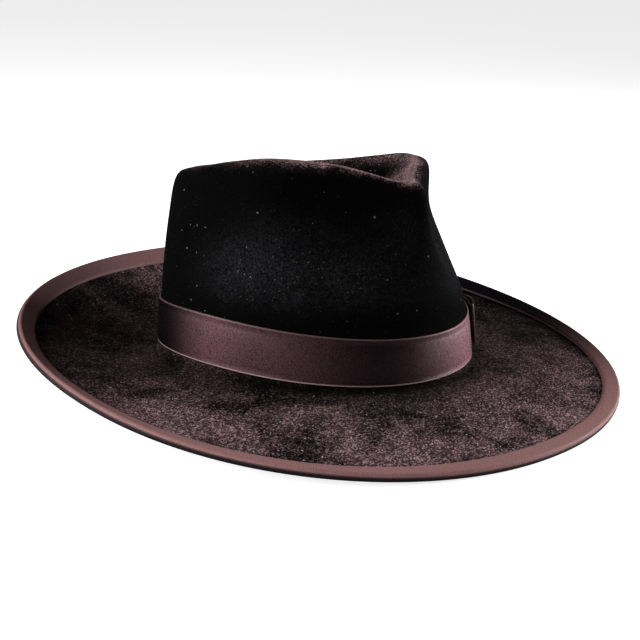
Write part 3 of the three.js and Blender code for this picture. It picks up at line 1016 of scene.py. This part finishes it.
# Middle line of the loops' ribbon: out under the front loop, round its fold, back over both and in again
def loopPath():
    start = shape["clearance"] + bow["thickness"] + shape["clearance"]
    fold, thick = bow["length"] / 2, bow["thickness"]
    radius = (loopThickness(np.array(fold)) - thick) / 2
    straight = fold - radius - thick / 2
    low = start + thick / 2
    flat = np.linspace(-shape["clearance"] / 2, -straight, bow["steps"])
    turn = np.linspace(-90, 90, 11)[1:-1] * math.pi / 180
    turnAlong, turnOut = -straight - radius * np.cos(turn), low + radius + radius * np.sin(turn)
    over = np.linspace(-straight, straight, 2 * bow["steps"])
    overOut = start + loopThickness(over) - thick / 2
    along = np.concatenate([flat, turnAlong, over, -turnAlong[::-1], -flat[::-1]])
    flatOut = np.full_like(flat, low)
    out = np.concatenate([flatOut, turnOut, overOut, turnOut[::-1], flatOut])
    rising = 0.5 + 0.5 * np.sin(turn)
    isOver = np.concatenate([0 * flat, rising, 0 * over + 1, rising[::-1], 0 * flat])
    return along, out, isOver


def makeLoops(material):
    along, out, isOver = loopPath()
    tangent = unit(np.stack([np.gradient(along), np.gradient(out)], axis=-1))
    half = bow["thickness"] / 2
    share = np.linspace(0, 1, bow["columns"])[None, :]
    lift = isOver[:, None] * pleats(along[:, None], share)
    faces = []
    for side in (half, -half):
        sideAlong = (along - tangent[:, 1] * side)[:, None] + 0 * share
        sideOut = (out + tangent[:, 0] * side)[:, None] + lift
        faces.append(overBand(sideOut, sideAlong, bowUp(along[:, None], share)))
    piece = slab("loops", atRest(faces[0]), atRest(faces[1]))
    rows = alongLine(along, out)[:, None] + 0 * share
    across = 0 * rows + share * bow["height"]
    return dressRibbon(piece, rows, across, borderOf(share + 0 * rows), "bow_loops", material)


def makeTail(material):
    rows = np.linspace(0, 1, bow["steps"])[:, None]
    share = np.linspace(0, 1, bow["columns"])[None, :]
    along = rows * (bow["tailLength"] - bow["tailNotch"] * (1 - np.abs(2 * share - 1)))
    up = bowUp(along, share)
    start = bow["tailCurlFrom"]
    curled = smooth(np.clip((along / bow["tailLength"] - start) / (1 - start), 0, 1))
    low = shape["clearance"] + bow["tailCurl"] * curled
    front, back = overBand(low + bow["thickness"], along, up), overBand(low, along, up)
    piece = slab("tail", atRest(front), atRest(back))
    border = np.maximum(borderOf(share + 0 * rows), rows + 0 * share > 1 - bow["selvage"])
    return dressRibbon(piece, along, 0 * along + share * bow["height"], border, "bow_tail", material)


# Knot: a short ribbon over the loops that turns in above and below them
def makeKnot(material):
    clear, thick = shape["clearance"], bow["thickness"]
    face = 4 * clear + 3 * thick
    reach = bow["height"] * bow["knotGather"] / 2 + clear
    bend = bow["knotBend"]
    corner = np.linspace(0, math.pi / 2, 7)
    downOut = np.linspace(clear, face - bend, 5)[:-1]
    turnOut, turnUp = face - bend + bend * np.sin(corner), reach - bend + bend * np.cos(corner)
    flat = np.linspace(reach - bend, -reach + bend, 25)[1:-1]
    out = np.concatenate([downOut, turnOut, np.full_like(flat, face), turnOut[::-1], downOut[::-1]])
    downUp = np.full_like(downOut, reach)
    up = np.concatenate([downUp, turnUp, flat, -turnUp[::-1], -downUp])
    tangent = unit(np.stack([np.gradient(out), np.gradient(up)], axis=-1))
    share = np.linspace(-0.5, 0.5, bow["columns"])[None, :]
    middle = np.clip(np.cos(up / reach * math.pi / 2), 0, 1)[:, None]
    along = share * bow["knotWidth"] * (1 - bow["knotWaist"] * middle ** 2)
    pleat = bow["knotPleat"] * np.cos(share * 2 * math.pi * bow["knotPleats"])
    fold = middle * (pleat + bow["knotSwell"] * np.cos(share * math.pi))
    faces = []
    for side in (thick, 0.0):
        sideOut = (out - tangent[:, 1] * side)[:, None] + fold
        sideUp = (up + tangent[:, 0] * side)[:, None] + 0 * share
        faces.append(overBand(sideOut, along, band["sideHeight"] / 2 + sideUp))
    piece = slab("knot", atRest(faces[0]), atRest(faces[1]))
    rows = alongLine(out, up)[:, None] + 0 * share
    return dressRibbon(piece, rows, along, borderOf(share + 0.5 + 0 * rows), "bow_knot", material)


# The camera stands where the photograph was taken from
view = {
    "azimuth": -44.43,
    "elevation": 18.06,
    "turn": 1.96,
    "distance": 0.79054,
    "focalPixels": 1266.1,
    "imagePixels": 640,
    "sensor": 36.0,
    "originAt": (311.53, 339.6),
}


# Direction seen from the hat, by degrees round it and degrees above the floor
def towards(around, above):
    around, above = math.radians(around), math.radians(above)
    level = math.cos(above)
    return Vector((math.sin(around) * level, -math.cos(around) * level, math.sin(above)))


def placeCamera():
    back = towards(view["azimuth"], view["elevation"])
    right = towards(view["azimuth"] + 90, 0)
    up = back.cross(right)
    turn = math.radians(view["turn"])
    tiltedRight = right * math.cos(turn) + up * math.sin(turn)
    tiltedUp = back.cross(tiltedRight)
    data = bpy.data.cameras.new("camera")
    data.sensor_width = view["sensor"]
    data.lens = view["focalPixels"] / view["imagePixels"] * view["sensor"]
    middle = view["imagePixels"] / 2
    data.shift_x = (middle - view["originAt"][0]) / view["imagePixels"]
    data.shift_y = (view["originAt"][1] - middle) / view["imagePixels"]
    camera = bpy.data.objects.new("camera", data)
    rotation = Matrix((tiltedRight, tiltedUp, back)).transposed().to_4x4()
    camera.matrix_world = Matrix.Translation(Vector(restPlace) + back * view["distance"]) @ rotation
    bpy.context.scene.collection.objects.link(camera)
    bpy.context.scene.camera = camera


# Pale floor in a dim room that looks white
studio = {
    "floorSize": 12.0,
    "floorColor": (0.88, 0.88, 0.88),
    "floorGlow": 0.8,
    "roomLight": 0.03,
}

# A soft light on each side and a weak one above: turn is degrees round the hat from the camera,
# height is degrees above the floor
lamps = [
    {"name": "left softbox", "turn": -73, "height": 14, "distance": 1.3, "size": (1.3, 0.9), "power": 27},
    {"name": "right softbox", "turn": 105, "height": 14, "distance": 1.3, "size": (1.0, 0.9), "power": 29},
    {"name": "upper softbox", "turn": -50, "height": 55, "distance": 1.3, "size": (0.8, 0.8), "power": 3},
]


# 1 for rays straight from the camera: floor and room look white to it, but light the hat little
def cameraRay(tree):
    return tree.nodes.new("ShaderNodeLightPath").outputs["Is Camera Ray"]


def makeFloor():
    size = studio["floorSize"] / 2
    mesh = bpy.data.meshes.new("floor")
    corners = [(-size, -size, 0), (size, -size, 0), (size, size, 0), (-size, size, 0)]
    mesh.from_pydata(corners, [], [(0, 1, 2, 3)])
    floor = bpy.data.objects.new("floor", mesh)
    bpy.context.scene.collection.objects.link(floor)
    material, tree, shader = newMaterial("pale floor")
    shader.inputs["Base Color"].default_value = (*studio["floorColor"], 1)
    shader.inputs["Roughness"].default_value = 0.9
    shader.inputs["Emission Color"].default_value = (1, 1, 1, 1)
    glow = calc(tree, "MULTIPLY", cameraRay(tree), studio["floorGlow"])
    tree.links.new(glow, shader.inputs["Emission Strength"])
    mesh.materials.append(material)


def makeLights():
    for lamp in lamps:
        away = towards(view["azimuth"] + lamp["turn"], lamp["height"])
        data = bpy.data.lights.new(lamp["name"], "AREA")
        data.shape = "RECTANGLE"
        data.size, data.size_y = lamp["size"]
        data.energy = lamp["power"]
        light = bpy.data.objects.new(lamp["name"], data)
        aim = away.to_track_quat("Z", "Y").to_matrix().to_4x4()
        light.matrix_world = Matrix.Translation(Vector(restPlace) + away * lamp["distance"]) @ aim
        bpy.context.scene.collection.objects.link(light)


def makeRoom():
    world = bpy.data.worlds.new("room")
    bpy.context.scene.world = world
    world.use_nodes = True
    tree = world.node_tree
    background = tree.nodes["Background"]
    background.inputs["Color"].default_value = (1, 1, 1, 1)
    strength = remap(tree, cameraRay(tree), 0.0, 1.0, studio["roomLight"], 1.0)
    tree.links.new(strength, background.inputs["Strength"])
    bpy.context.scene.view_settings.view_transform = "Standard"


restPlace = findRestPlace()
lint, nap, weave = lintGroup(), napGroup(), weaveGroup()
makeFelt(feltMaterial(nap, lint))
print("felt made")
makeBinding(ribbonMaterial("brown binding ribbon", weave, binding))
satin = ribbonMaterial("brown satin", weave, band)
makeBand(satin)
makeLoops(satin)
makeTail(satin)
makeKnot(satin)
print("ribbons made")
placeCamera()
makeFloor()
makeLights()
makeRoom()
print("studio set")

print("rest place", [round(float(value) * 1000, 2) for value in restPlace])
